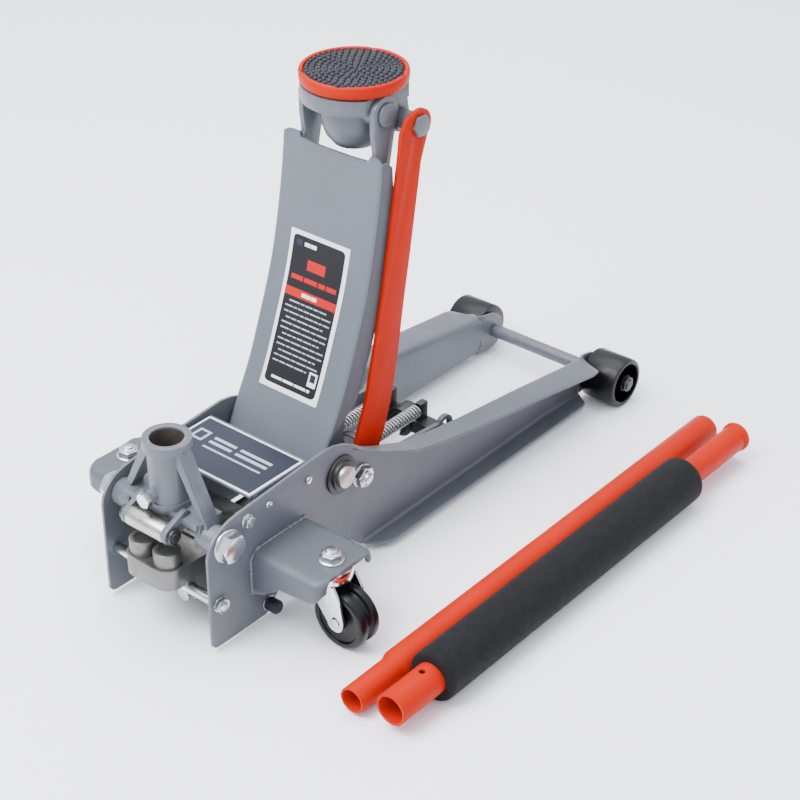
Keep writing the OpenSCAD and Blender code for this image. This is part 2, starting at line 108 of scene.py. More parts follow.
def make_mat(name, base, rough=0.4, metal=0.0, var=0.05, var_scale=18, rvar=0.06, bump=0.05, bump_scale=900,
             coat=0.0, coat_rough=0.1, spec=0.5, tint=None, wear_and_edge_highlight=None, wear_and_highlight_amount=0.0, speck=None, streak=None,
             bump_dist=0.0003, sheen=0.0, dirt=0.0):
    """A procedural finish: two scales of colour drift, roughness drift, fine bump, edges lightened as part paint wear
    and part painted highlight, and specks.
    """
    m = bpy.data.materials.new(name)
    m.use_nodes = True
    nt = m.node_tree
    n = nt.nodes
    b = n["Principled BSDF"]
    b.inputs["Metallic"].default_value = metal
    b.inputs["Specular IOR Level"].default_value = spec
    b.inputs["Coat Weight"].default_value = coat
    b.inputs["Coat Roughness"].default_value = coat_rough
    if sheen:
        b.inputs["Sheen Weight"].default_value = sheen
        b.inputs["Sheen Roughness"].default_value = 0.5
    tc = n.new("ShaderNodeTexCoord")
    mp = n.new("ShaderNodeMapping")
    _link(nt, tc.outputs["Object"], mp.inputs["Vector"])
    if streak:
        mp.inputs["Scale"].default_value = streak
    big = n.new("ShaderNodeTexNoise")
    big.inputs["Scale"].default_value = var_scale
    big.inputs["Detail"].default_value = 4
    _link(nt, mp.outputs["Vector"], big.inputs["Vector"])
    ramp = n.new("ShaderNodeValToRGB")
    lo = [max(0, c * (1 - var)) for c in base]
    hi = [min(1, c * (1 + var)) for c in (tint or base)]
    ramp.color_ramp.elements[0].position = 0.32
    ramp.color_ramp.elements[1].position = 0.68
    ramp.color_ramp.elements[0].color = (*lo, 1)
    ramp.color_ramp.elements[1].color = (*hi, 1)
    _link(nt, big.outputs["Fac"], ramp.inputs["Fac"])
    col = ramp.outputs["Color"]
    if dirt:
        dn = n.new("ShaderNodeTexNoise"); dn.inputs["Scale"].default_value = 7; dn.inputs["Detail"].default_value = 8
        dn.inputs["Roughness"].default_value = 0.7
        _link(nt, tc.outputs["Object"], dn.inputs["Vector"])
        dr = n.new("ShaderNodeMapRange"); dr.inputs[1].default_value = 0.5; dr.inputs[2].default_value = 0.75; dr.inputs[4].default_value = dirt
        _link(nt, dn.outputs["Fac"], dr.inputs[0])
        mx = n.new("ShaderNodeMixRGB"); mx.inputs[2].default_value = (*[c * 0.7 for c in base], 1)
        _link(nt, dr.outputs[0], mx.inputs[0]); _link(nt, col, mx.inputs[1]); col = mx.outputs[0]
    if speck:
        sp = n.new("ShaderNodeTexVoronoi"); sp.inputs["Scale"].default_value = speck[0]
        _link(nt, tc.outputs["Object"], sp.inputs["Vector"])
        sr = n.new("ShaderNodeMapRange"); sr.inputs[1].default_value = speck[1]; sr.inputs[2].default_value = speck[1] * 0.4; sr.inputs[4].default_value = speck[3]
        _link(nt, sp.outputs["Distance"], sr.inputs[0])
        mx = n.new("ShaderNodeMixRGB"); mx.inputs[2].default_value = (*speck[2], 1)
        _link(nt, sr.outputs[0], mx.inputs[0]); _link(nt, col, mx.inputs[1]); col = mx.outputs[0]
    # Sharp edges (pointiness) are mixed towards a lighter colour: partly paint wear, partly a painted highlight along
    # the edges.
    if wear_and_edge_highlight:
        geo = n.new("ShaderNodeNewGeometry")
        wn = n.new("ShaderNodeTexNoise"); wn.inputs["Scale"].default_value = 120; wn.inputs["Detail"].default_value = 6
        _link(nt, tc.outputs["Object"], wn.inputs["Vector"])
        ad = n.new("ShaderNodeMath"); ad.operation = "MULTIPLY_ADD"; ad.inputs[1].default_value = 0.12; ad.inputs[2].default_value = -0.06
        _link(nt, wn.outputs["Fac"], ad.inputs[0])
        sm = n.new("ShaderNodeMath"); sm.operation = "ADD"
        _link(nt, geo.outputs["Pointiness"], sm.inputs[0]); _link(nt, ad.outputs[0], sm.inputs[1])
        wr = n.new("ShaderNodeMapRange"); wr.inputs[1].default_value = 0.545; wr.inputs[2].default_value = 0.62; wr.inputs[4].default_value = wear_and_highlight_amount
        _link(nt, sm.outputs[0], wr.inputs[0])
        mx = n.new("ShaderNodeMixRGB"); mx.inputs[2].default_value = (*wear_and_edge_highlight, 1)
        _link(nt, wr.outputs[0], mx.inputs[0]); _link(nt, col, mx.inputs[1]); col = mx.outputs[0]
    _link(nt, col, b.inputs["Base Color"])
    rn = n.new("ShaderNodeTexNoise"); rn.inputs["Scale"].default_value = var_scale * 3.1; rn.inputs["Detail"].default_value = 5
    _link(nt, mp.outputs["Vector"], rn.inputs["Vector"])
    rr = n.new("ShaderNodeMapRange"); rr.inputs[1].default_value = 0.25; rr.inputs[2].default_value = 0.75
    rr.inputs[3].default_value = max(0.03, rough - rvar); rr.inputs[4].default_value = min(1, rough + rvar)
    _link(nt, rn.outputs["Fac"], rr.inputs[0]); _link(nt, rr.outputs[0], b.inputs["Roughness"])
    if bump:
        bn = n.new("ShaderNodeTexNoise"); bn.inputs["Scale"].default_value = bump_scale; bn.inputs["Detail"].default_value = 3
        _link(nt, mp.outputs["Vector"], bn.inputs["Vector"])
        bp = n.new("ShaderNodeBump"); bp.inputs["Strength"].default_value = bump; bp.inputs["Distance"].default_value = bump_dist
        _link(nt, bn.outputs["Fac"], bp.inputs["Height"]); _link(nt, bp.outputs["Normal"], b.inputs["Normal"])
    return m


M = {}
# frame_paint is the arm's grey paint made darker: painted shade for the side plates' webs, which face away from the
# light. The same darkened colour goes on every part that uses it.
M["frame_paint"] = make_mat("frame_paint", (0.086, 0.095, 0.112), 0.44, var=0.06, bump=0.12, bump_scale=420, coat=0.12, coat_rough=0.25, spec=0.42, wear_and_edge_highlight=(0.24, 0.26, 0.29), wear_and_highlight_amount=0.35, dirt=0.12)
M["arm_paint"] = make_mat("arm_paint", (0.093, 0.106, 0.124), 0.42, var=0.05, bump=0.12, bump_scale=420, coat=0.12, coat_rough=0.25, spec=0.42, wear_and_edge_highlight=(0.26, 0.28, 0.31), wear_and_highlight_amount=0.35, dirt=0.08)
# Darker copy of the arm's grey paint: painted shade for the arm cover's turned-down sides, which face away from the
# light.
M["side_painted_shade"] = make_mat("side_painted_shade", (0.054, 0.059, 0.070), 0.48, var=0.06, bump=0.12, bump_scale=420, coat=0.08, coat_rough=0.3, spec=0.35, wear_and_edge_highlight=(0.2, 0.22, 0.25), wear_and_highlight_amount=0.35, dirt=0.12)
M["wing_paint"] = make_mat("wing_paint", (0.068, 0.077, 0.092), 0.46, var=0.06, bump=0.12, bump_scale=420, coat=0.10, coat_rough=0.28, spec=0.38, wear_and_edge_highlight=(0.22, 0.24, 0.27), wear_and_highlight_amount=0.35, dirt=0.12)
M["orange_paint"] = make_mat("orange_paint", (0.40, 0.011, 0.0001), 0.45, var=0.05, bump=0.1, bump_scale=380, coat=0.0, coat_rough=0.2, spec=0.08, wear_and_edge_highlight=(0.5, 0.016, 0.001), wear_and_highlight_amount=0.4)
M["zinc"] = make_mat("zinc", (0.46, 0.48, 0.50), 0.22, metal=1.0, var=0.06, var_scale=30, rvar=0.04, bump=0.03, bump_scale=700, tint=(0.68, 0.7, 0.72))
M["steel"] = make_mat("steel", (0.46, 0.44, 0.41), 0.34, metal=1.0, var=0.12, var_scale=90, rvar=0.1, bump=0.15, bump_scale=900)
M["cast_zinc"] = make_mat("cast_zinc", (0.17, 0.168, 0.16), 0.40, metal=0.8, var=0.12, var_scale=60, rvar=0.12, bump=0.35, bump_scale=500, dirt=0.4)
M["black_steel"] = make_mat("black_steel", (0.007, 0.007, 0.008), 0.45, var=0.2, bump=0.15, bump_scale=500, coat=0.15, coat_rough=0.3)
M["chrome_plate"] = make_mat("chrome_plate", (0.74, 0.75, 0.77), 0.16, metal=1.0, var=0.04, rvar=0.06, bump=0.05, bump_scale=300)
M["spring_steel"] = make_mat("spring_steel", (0.5, 0.5, 0.52), 0.3, metal=1.0, var=0.15, var_scale=200, bump=0.1)
M["rubber"] = make_mat("rubber", (0.016, 0.016, 0.024), 0.6, var=0.2, var_scale=60, rvar=0.12, bump=0.3, bump_scale=900, spec=0.4)
M["foam"] = make_mat("foam", (0.0055, 0.0055, 0.0065), 0.86, var=0.18, var_scale=80, rvar=0.08, bump=0.6, bump_scale=1500, spec=0.2, sheen=0.02)
M["caster_black"] = make_mat("caster_black", (0.0025, 0.0025, 0.0035), 0.32, spec=0.28, var=0.2, bump=0.1, bump_scale=400)
M["label"] = make_mat("label", (0.6, 0.61, 0.63), 0.35, var=0.05, bump=0.03)
M["plug_black"] = make_mat("plug_black", (0.02, 0.02, 0.02), 0.5, var=0.1, bump=0.1)
M["label_dark"] = make_mat("label_dark", (0.006, 0.006, 0.008), 0.5, var=0.12, bump=0.02, coat=0.0, spec=0.25)
M["plate_blue"] = make_mat("plate_blue", (0.009, 0.012, 0.026), 0.42, var=0.25, var_scale=9, bump=0.02, coat=0.1, spec=0.3)
M["label_white"] = make_mat("label_white", (0.78, 0.79, 0.8), 0.35, var=0.03, bump=0.02, coat=0.3)
M["label_red"] = make_mat("label_red", (0.42, 0.006, 0.006), 0.5, var=0.05, bump=0.02, coat=0.0, spec=0.2)
M["label_grey"] = make_mat("label_grey", (0.33, 0.36, 0.42), 0.35, var=0.05, bump=0.02, coat=0.3)


# ---------------------------------------------------------------- mesh helpers
def sharp(me, ang=34):
    bm = bmesh.new(); bm.from_mesh(me)
    lim = math.radians(ang)
    for f in bm.faces:
        f.smooth = True
    for e in bm.edges:
        e.smooth = len(e.link_faces) == 2 and e.calc_face_angle(0) < lim
    bm.to_mesh(me); bm.free()


def finish_obj(o, node=None, body=None, mat=None, also=(), ang=34, mods=True):
    if mods and o.modifiers:
        dg = bpy.context.evaluated_depsgraph_get()
        me = bpy.data.meshes.new_from_object(o.evaluated_get(dg))
        o.modifiers.clear(); o.data = me
    sharp(o.data, ang)
    if mat is not None:
        o.data.materials.clear(); o.data.materials.append(mat)
    b = body or BODY_OF[node]
    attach(o, b)
    names = ([node] if node else []) + list(also)
    if names:
        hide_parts(*names)
    return o


def add_obj(bm, name):
    me = bpy.data.meshes.new(name)
    bmesh.ops.recalc_face_normals(bm, faces=bm.faces)
    bm.to_mesh(me); bm.free()
    o = bpy.data.objects.new(name, me)
    bpy.context.scene.collection.objects.link(o)
    return o


def bevel_mod(o, width, seg=2, ang=35):
    m = o.modifiers.new("b", "BEVEL")
    m.width = width; m.segments = seg; m.limit_method = "ANGLE"; m.angle_limit = math.radians(ang)
    m.harden_normals = False; m.miter_outer = "MITER_ARC"; m.use_clamp_overlap = True
    return m


def bev(node, width=0.0007, seg=2, ang=32, name=None, mat=None):
    """A softened copy of a CAD node: coplanar triangles merged, every hard edge rounded."""
    bm = bmesh.new(); bm.from_mesh(N[node].data)
    bmesh.ops.remove_doubles(bm, verts=bm.verts, dist=2e-6)
    bmesh.ops.dissolve_limit(bm, angle_limit=math.radians(0.4), verts=bm.verts, edges=bm.edges)
    bmesh.ops.dissolve_degenerate(bm, dist=1e-6, edges=bm.edges)
    me = bpy.data.meshes.new(name or node + "_skin"); bm.to_mesh(me); bm.free()
    o = bpy.data.objects.new(name or node + "_skin", me)
    bpy.context.scene.collection.objects.link(o)
    if width:
        bevel_mod(o, width, seg, ang)
    return finish_obj(o, node, mat=mat or M[SLOT_OF[node]])


def loft(rings, closed_ring=True, caps=True):
    bm = bmesh.new()
    rows = [[bm.verts.new(p) for p in r] for r in rings]
    n = len(rows[0])
    for a, b in zip(rows, rows[1:]):
        for i in range(n if closed_ring else n - 1):
            j = (i + 1) % n
            try:
                bm.faces.new((a[i], a[j], b[j], b[i]))
            except ValueError:
                pass
    if caps and closed_ring:
        bm.faces.new(rows[0][::-1]); bm.faces.new(rows[-1])
    return bm


def sheet_obj(grid, t, name, bevel=0.0006, seg=2):
    """Sheet metal of thickness t about a grid of mid-surface points."""
    bm = loft(grid, closed_ring=False, caps=False)
    bmesh.ops.remove_doubles(bm, verts=bm.verts, dist=1e-6)
    o = add_obj(bm, name)
    m = o.modifiers.new("s", "SOLIDIFY"); m.thickness = t; m.offset = 0; m.use_even_offset = True
    if bevel:
        bevel_mod(o, bevel, seg, 50)
    return o


def tube_along(points, r, name, seg=12, closed=False):
    """Round wire along points (metres) with parallel-transported rings."""
    P = [Vector(p) for p in points]
    rings = []
    prev = None
    m = len(P)
    for i, p in enumerate(P):
        a = P[max(0, i - 1)]; b = P[min(m - 1, i + 1)]
        t = (b - a).normalized()
        if prev is None:
            u = t.orthogonal().normalized()
        else:
            u = (prev - t * prev.dot(t)).normalized()
        prev = u
        v = t.cross(u)
        rr = r[i] if isinstance(r, (list, tuple)) else r
        rings.append([p + rr * (math.cos(2 * math.pi * k / seg) * u + math.sin(2 * math.pi * k / seg) * v) for k in range(seg)])
    return loft(rings)


def plate(outline, y0, y1, name, bevel=0.0008, seg=3):
    """Flat plate in the XZ plane from an outline in mm."""
    bm = bmesh.new()
    f = bm.faces.new([bm.verts.new(W(x, y0, z)) for x, z in outline])
    r = bmesh.ops.extrude_face_region(bm, geom=[f])
    bmesh.ops.translate(bm, vec=(0, (y1 - y0) / 1000, 0), verts=[v for v in r["geom"] if isinstance(v, bmesh.types.BMVert)])
    o = add_obj(bm, name)
    if bevel:
        bevel_mod(o, bevel, seg, 40)
    return o


def lathe(profile, name, seg=64):
    """Profile of (radius, height) in metres about Z, open ends closed by radius 0."""
    bm = bmesh.new()
    rows = []
    for k in range(seg):
        a = 2 * math.pi * k / seg
        rows.append([bm.verts.new((r * math.cos(a), r * math.sin(a), h)) for r, h in profile])
    for k in range(seg):
        A, B = rows[k], rows[(k + 1) % seg]
        for i in range(len(profile) - 1):
            try:
                bm.faces.new((A[i], B[i], B[i + 1], A[i + 1]))
            except ValueError:
                pass
    bmesh.ops.remove_doubles(bm, verts=bm.verts, dist=1e-7)
    return bm


# ---------------------------------------------------------------- frame side plates
TOP = [(0, 112), (2, 120), (8, 130), (18, 138), (30, 142), (46, 144.5), (74, 146.5), (132, 150.6), (170, 153), (185, 150.6), (196, 147), (207, 141.5), (222, 133), (240, 124.5), (261, 116), (286, 106), (336, 96), (379, 89), (497, 74), (580, 62), (614, 58), (626, 56.5), (638, 54), (648, 49), (654, 41), (656.8, 30.4)]
BOT = [(0, 9), (3, 5.5), (8, 4), (76, 4), (82, 8), (96, 24), (205, 24), (223, 8), (640, 8), (650, 12), (656, 20), (656.8, 30)]
OUT_T = [(200, 72.5), (211, 76), (222, 86), (240, 93), (262, 97), (300, 100), (400, 104), (500, 108), (590, 111.6), (600, 110), (613, 76), (620, 72.5)]
OUT_B = [(222, 72.5), (230, 84), (242, 94), (252, 97), (592, 97), (600, 94), (611, 74), (616, 72.5)]


def side_plate(s, node):
    xs = sorted(set([0, 1, 2, 3, 5, 8, 12, 18, 24, 30, 38, 46, 60, 74, 76, 79, 82, 87, 92, 96, 104, 114, 125, 137, 150, 160, 170, 178, 185, 190, 196, 201, 205, 207, 210, 214, 218, 222, 226, 230, 235, 240, 246, 253, 261] + list(range(270, 590, 10)) + [586, 590, 593, 596, 600, 604, 608, 611, 613, 616, 620, 626, 632, 638, 643, 648, 651, 654, 656, 656.8]))
    R = 6.0
    grid = []
    for x in xs:
        zt = interp(TOP, x); zb = interp(BOT, x)
        row = []
        for (z, out, sgn) in ((zb, interp(OUT_B, x), -1), (zt, interp(OUT_T, x), 1)):
            lat = max(0.0, out - 72.5)
            al = math.radians(90) * smoothstep(lat / 9.0)
            part = []
            if al > 1e-4:
                arc = R * (1 - math.cos(al))
                ln = max(0.0, (lat - arc) / math.sin(al))
                z1 = z - sgn * (1.5 * (1 - math.cos(al)) + R * math.sin(al) + ln * math.cos(al))
            else:
                arc = 0; ln = 0; z1 = z
            for k in range(7):
                a = al * k / 6
                part.append((72.5 + R * (1 - math.cos(a)), z1 + sgn * R * math.sin(a)))
            y2, z2 = part[-1]
            for k in range(1, 4):
                part.append((y2 + ln * math.sin(al) * k / 3, z2 + sgn * ln * math.cos(al) * k / 3))
            if sgn < 0:
                part = part[::-1]
            row.append(part)
        a, b = row
        z0, z1 = a[-1][1], b[0][1]
        mid = [(72.5, lerp(z0, z1, k / 7)) for k in range(1, 7)]
        pts = a + mid + b
        grid.append([W(x, s * y, z) for y, z in pts])
    o = sheet_obj(grid, 0.003, node + "_skin", 0.0006)
    # The side plates take the darkened grey, which carries painted shade for their webs.
    return finish_obj(o, node, mat=M["frame_paint"], ang=40)


side_plate(1, "side_plate_left")
side_plate(-1, "side_plate_right")

# ---------------------------------------------------------------- lifting arm cover
COVER = [(273, 423), (268, 384), (259, 335), (247, 287), (229, 237), (209, 188), (190, 152), (174, 119), (168, 103)]
UA = Vector((math.cos(math.radians(73.7)), math.sin(math.radians(73.7))))
NA = Vector((UA.y, -UA.x))


def cover_pt(t, lift=0.0):
    """Point on the cover's outer face; t from 0 at the top to 1 at the bottom."""
    c = COVER_FINE
    i = t * (len(c) - 1)
    k = min(len(c) - 2, int(i))
    p = c[k].lerp(c[k + 1], i - k)
    d = (c[k + 1] - c[k]).normalized()
    nrm = Vector((d.y, -d.x))
    if nrm.dot(NA) > 0:
        nrm = -nrm
    return p + nrm * lift, nrm


COVER_FINE = spline(COVER, 8)


LEN = [0.0]
for _k in range(len(COVER_FINE) - 1):
    LEN.append(LEN[-1] + (COVER_FINE[_k + 1] - COVER_FINE[_k]).length)


def cover_at(sd, lift=0.0):
    """Point at distance sd (mm) down the cover's outer face, lifted off it."""
    k = 0
    while k < len(LEN) - 2 and LEN[k + 1] < sd:
        k += 1
    f = (sd - LEN[k]) / (LEN[k + 1] - LEN[k])
    p = COVER_FINE[k].lerp(COVER_FINE[k + 1], f)
    # smooth normal
    a = COVER_FINE[max(0, k - 2)]; b = COVER_FINE[min(len(COVER_FINE) - 1, k + 3)]
    d = (b - a).normalized()
    nrm = Vector((d.y, -d.x))
    if nrm.dot(NA) > 0:
        nrm = -nrm
    return p + nrm * lift, nrm


DEEP = [(0, 17), (39, 24), (89, 26), (139, 28), (192, 29), (245, 27), (285, 5.5), (298, 3.2), (330, 3)]


def cover_raise(y):
    """How far the cover's top edge stands above the start of its line, mm."""
    half, rad = (69.0, 11.0) if y > 0 else (61.4, 10.0)
    a = abs(y)
    if a < 43:
        h = -1.8 + 1.2 * smoothstep((a - 20) / 23.0)
    else:
        h = lerp(-0.6, 5.0, smoothstep((a - 43) / 3.5))
    over = a - (half - rad)
    if over > 0:
        h -= rad - math.sqrt(max(0.0, rad * rad - over * over))
    return h


def arm_cover():
    """Channel-section cover: face, soft folded edges and two turned-down sides."""
    grid = []
    R = 2.6
    total = LEN[-1]
    n = 60
    down = (COVER_FINE[1] - COVER_FINE[0]).normalized()
    flat = (-54, -51, -48, -46.5, -45.3, -44.2, -43, -38, -30, -20, -10, 0, 10, 20, 30, 38, 43, 44.2, 45.3, 46.5, 48, 51, 54, 57, 60, 62.5)
    for i in range(n + 1):
        sd = total * i / n
        q, nrm = cover_at(sd, -1.5)
        deep = interp(DEEP, sd) - 3.0
        if i == 0:
            deep = 8
        leg = max(0.2, deep - R)

        def fold(cw):
            out = [(cw - R + R * math.sin(math.pi / 12 * k), -R * (1 - math.cos(math.pi / 12 * k))) for k in range(7)]
            return out + [(cw, -R - leg * k / 3) for k in range(1, 4)]
        row = [(-y, dz) for y, dz in fold(61.4 - 1.5)[::-1]] + [(y, 0.0) for y in flat] + fold(69.0 - 1.5)
        fade = max(0.0, 1 - sd / 34.0)
        out = []
        for y, dz in row:
            p = q + nrm * dz - down * (cover_raise(y) * fade)
            out.append(W(p.x, y, p.y))
        grid.append(out)
    o = sheet_obj(grid, 0.003, "arm_cover_skin", 0.0007, 3)
    o = finish_obj(o, "arm_cover", mat=M["arm_paint"], ang=40)
    # Faces turned sideways take the darker copy of the grey paint as painted shade.
    o.data.materials.append(M["side_painted_shade"])
    for f in o.data.polygons:
        if abs(f.normal.y) > 0.8:
            f.material_index = 1
    return o


arm_cover()


def cover_patch(name, s0, s1, y0, y1, lift, mat, node=None, corner=0.0, t=0.00012):
    grid = []
    n = max(2, int((s1 - s0) / 6))
    ss = [s0 + (s1 - s0) * i / n for i in range(n + 1)]
    if corner:
        ss = sorted(set(ss + [s0 + corner * k / 5 for k in range(6)] + [s1 - corner * k / 5 for k in range(6)]))
    for sd in ss:
        q, nrm = cover_at(sd, lift)
        dd = min(sd - s0, s1 - sd)
        w = corner - math.sqrt(max(0.0, corner ** 2 - (corner - dd) ** 2)) if dd < corner else 0.0
        grid.append([W(q.x, lerp(y0 + w, y1 - w, k / 4), q.y) for k in range(5)])
    o = sheet_obj(grid, t, name, 0)
    return finish_obj(o, node, body="arm", mat=mat, ang=30)


random.seed(5)
cover_patch("arm_label_skin", 95, 263, -33.5, 45, 0.3, M["label_white"], "arm_label", 1.0)
cover_patch("arm_label_panel", 99.8, 257.6, -28.2, 40.6, 0.44, M["label_dark"], None, 5.0)
cover_patch("arm_label_band", 155, 163.8, -28.0, 40.4, 0.58, M["label_red"])
cover_patch("arm_label_mark", 104, 111, 28, 36, 0.58, M["plate_blue"])
cover_patch("arm_label_badge", 231, 246, -25.5, -14.5, 0.58, M["label_white"])
cover_patch("arm_label_badge_mark", 233, 241, -23.5, -16.5, 0.7, M["plate_blue"])


BAR_GRIDS = {}


def bars(colour, s0, s1, y0, y1, wmin=3, wmax=9, gap=1.2, lift=0.58):
    y = y1
    while y > y0:
        w = min(random.uniform(wmin, wmax), y - y0)
        if w > 1.2:
            grid = []
            for k in range(3):
                q, nrm = cover_at(lerp(s0, s1, k / 2), lift)
                grid.append([W(q.x, lerp(y - w, y, j / 2), q.y) for j in range(3)])
            BAR_GRIDS.setdefault(colour, []).append(grid)
        y -= w + gap


def make_bars():
    for colour, grids in BAR_GRIDS.items():
        bm = bmesh.new()
        for grid in grids:
            rows = [[bm.verts.new(p) for p in r] for r in grid]
            for a, b in zip(rows, rows[1:]):
                for i in range(len(a) - 1):
                    bm.faces.new((a[i], a[i + 1], b[i + 1], b[i]))
        o = add_obj(bm, "arm_label_bars_" + colour)
        m = o.modifiers.new("s", "SOLIDIFY"); m.thickness = 0.00008; m.offset = 0
        finish_obj(o, None, body="arm", mat=M["label_" + colour], ang=30)


bars("white", 105.5, 109.5, 8, 25, 6, 8, 0.9)
bars("red", 122, 133, -6, 18, 24, 24, 1.6)
bars("red", 141, 146, -25, 36, 9, 18, 1.6)
bars("white", 157.5, 161.2, -2, 18, 8, 12, 0.9, 0.7)
_r = 168.0
for _i in range(12):
    bars("grey", _r, _r + 1.5, (-25 if _i % 3 else -18) if _r < 228 else -10, 36 if _i % 3 else 32, 4, 15, 1.4)
    _r += 5.9
bars("white", 249.5, 252.2, -20, 32, 9, 16, 1.4)
make_bars()

# ---------------------------------------------------------------- springs
def helix_x(y, z, x0, x1, r, w, turns, name, node, joint=None):
    pts = []
    k = int(turns * 16)
    for i in range(k + 1):
        a = 2 * math.pi * turns * i / k
        pts.append(W(lerp(x0, x1, i / k), y + r * math.cos(a), z + r * math.sin(a)))
    bm = tube_along(pts, w / 1000, name, 8)
    o = add_obj(bm, name)
    finish_obj(o, node, mat=M["spring_steel"], ang=60)
    if joint:
        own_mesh(o)
    return o


def helix_z(x, y, z0, z1, r, w, turns, name, node):
    pts = []
    k = int(turns * 18)
    for i in range(k + 1):
        a = 2 * math.pi * turns * i / k
        pts.append(W(x + r * math.cos(a), y + r * math.sin(a), lerp(z0, z1, i / k)))
    o = add_obj(tube_along(pts, w / 1000, name, 8), name)
    finish_obj(o, node, mat=M["spring_steel"], ang=60)
    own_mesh(o)
    return o


for s, nm in ((1, "left"), (-1, "right")):
    helix_x(s * 22, 78.6, 151.6, 377, 6.4, 1.35, 52, "return_spring_%s_skin" % nm, "return_spring_" + nm, "ram_stroke")
    helix_z(1, s * 16.5, 64.4, 95, 9.4, 1.2, 6, "plunger_spring_%s_skin" % nm, "plunger_spring_" + nm)

DONE = {"yoke_pivot_bolts", "link_pivot_bolt", "link_top_bolt", "frame_fasteners", "caster_stems", "rear_tie_rod", "socket_set_bolt", "arm_label", "name_plate", "saddle_pad", "saddle_ring", "front_wheel_left", "front_wheel_right", "caster_wing_left", "caster_wing_right", "handle_foam_grip", "side_plate_left", "side_plate_right", "arm_cover", "return_spring_left", "return_spring_right", "plunger_spring_left", "plunger_spring_right"}
# front_axle and axle_clips are made near-black as painted shade: their ends sit in the rollers' deep recesses and are
# darkened to read as the shaded hollow.
OTHER = {"front_axle": M["black_steel"], "axle_clips": M["black_steel"], "saddle_pivot_pins": M["frame_paint"], "link_top_bolt": M["cast_zinc"]}
FINE = {"saddle_pad": 0.0004, "arm_label": 0.0001, "name_plate": 0.0002, "front_wheel_left": 0.0009, "front_wheel_right": 0.0009, "handle_socket": 0.0008}
for node in sorted(N):
    if node not in DONE:
        bev(node, FINE.get(node, 0.0007), mat=OTHER.get(node))

# ---------------------------------------------------------------- bolts, nuts and washers
def axial(axis, at, sgn=1):
    """Maps (radius, angle, height) to a point, height measured outwards along the axis."""
    if axis == "y":
        return lambda r, a, h: W(at[0] + r * math.cos(a), sgn * h, at[1] + r * math.sin(a))
    if axis == "z":
        return lambda r, a, h: W(at[0] + r * math.cos(a), at[1] + r * math.sin(a), h)
    return lambda r, a, h: W(sgn * h, at[0] + r * math.cos(a), at[1] + r * math.sin(a))


def rings_solid(bm, rings):
    rows = [[bm.verts.new(p) for p in r] for r in rings]
    n = len(rows[0])
    for a, b in zip(rows, rows[1:]):
        for i in range(n):
            bm.faces.new((a[i], a[(i + 1) % n], b[(i + 1) % n], b[i]))
    bm.faces.new(rows[0][::-1]); bm.faces.new(rows[-1])


def round_part(bm, f, r, a, b, ch=0.4, seg=48):
    ang = [2 * math.pi * k / seg for k in range(seg)]
    s = 1 if b > a else -1
    prof = ((r - ch, a), (r, a + s * ch), (r, b - s * ch), (r - ch * 0.3, b - s * ch * 0.3), (r - ch, b))
    rings_solid(bm, [[f(q, t, h) for t in ang] for q, h in prof])


def hex_part(bm, f, af, a, b, turn=0.0, dish=0.0):
    """Hexagon with the turned 30 degree chamfer that real heads have."""
    seg = 72
    s = 1 if b > a else -1
    rc = af / 2 * 0.96
    outer, ang = [], []
    for k in range(seg):
        t = 2 * math.pi * k / seg
        loc = (math.degrees(t) + 30) % 60 - 30
        ang.append(t + turn)
        outer.append(af / 2 / math.cos(math.radians(loc)))
    rings = [[f(r - 0.15, t, a) for r, t in zip(outer, ang)],
             [f(r, t, a + s * 0.2) for r, t in zip(outer, ang)],
             [f(r, t, b - s * (max(0.25, (r - rc) * 0.62))) for r, t in zip(outer, ang)],
             [f(min(r - 0.12, r), t, b - s * (max(0.12, (r - rc) * 0.62 - 0.15))) for r, t in zip(outer, ang)],
             [f(rc, t, b) for t in ang]]
    if dish:
        rings.append([f(rc - 1.2, t, b - s * dish) for t in ang])
    rings_solid(bm, rings)


def thread_part(bm, f, r, a, b, pitch=1.25):
    """Bolt end with visible thread rings."""
    seg = 32
    ang = [2 * math.pi * k / seg for k in range(seg)]
    s = 1 if b > a else -1
    prof = [(r * 0.9, a)]
    h = a
    while abs(b - h) > pitch:
        prof += [(r * 0.9, h + s * pitch * 0.15), (r, h + s * pitch * 0.5), (r * 0.9, h + s * pitch * 0.9)]
        h += s * pitch
    prof += [(r * 0.85, b - s * 0.3), (r * 0.72, b)]
    rings_solid(bm, [[f(q, t, h) for t in ang] for q, h in prof])


YOKE, CC, DD = (25.3, 118), (222, 97), (324.95, 449.06)


def fasteners(node, build, mat=None):
    bm = bmesh.new()
    build(bm)
    o = add_obj(bm, node + "_skin")
    return finish_obj(o, node, mat=mat or M[SLOT_OF[node]], ang=30)


def _yoke(bm):
    for sg in (1, -1):
        f = axial("y", YOKE, sg)
        round_part(bm, f, 9, 52, 74.2)
        round_part(bm, f, 17.5, 74, 76.6, 0.6)
        hex_part(bm, f, 27, 76.6, 87.5, 0.35)
        round_part(bm, f, 11.9, 76.4, 77.4, 0.2)


def _link_base(bm):
    f = axial("y", CC, -1)
    round_part(bm, f, 8, 58.6, 74.2)
    round_part(bm, f, 11, 58.6, 61.6)
    round_part(bm, f, 13, 74, 76, 0.5)
    hex_part(bm, f, 21, 76, 83.6, 0.2, 0.6)
    thread_part(bm, f, 6.5, 82, 87)


def _link_top(bm):
    f = axial("y", DD, -1)
    round_part(bm, f, 8, 30, 66.4)
    round_part(bm, f, 11, 42.4, 61.6)
    hex_part(bm, f, 20, 66.3, 70.4, 0.5)


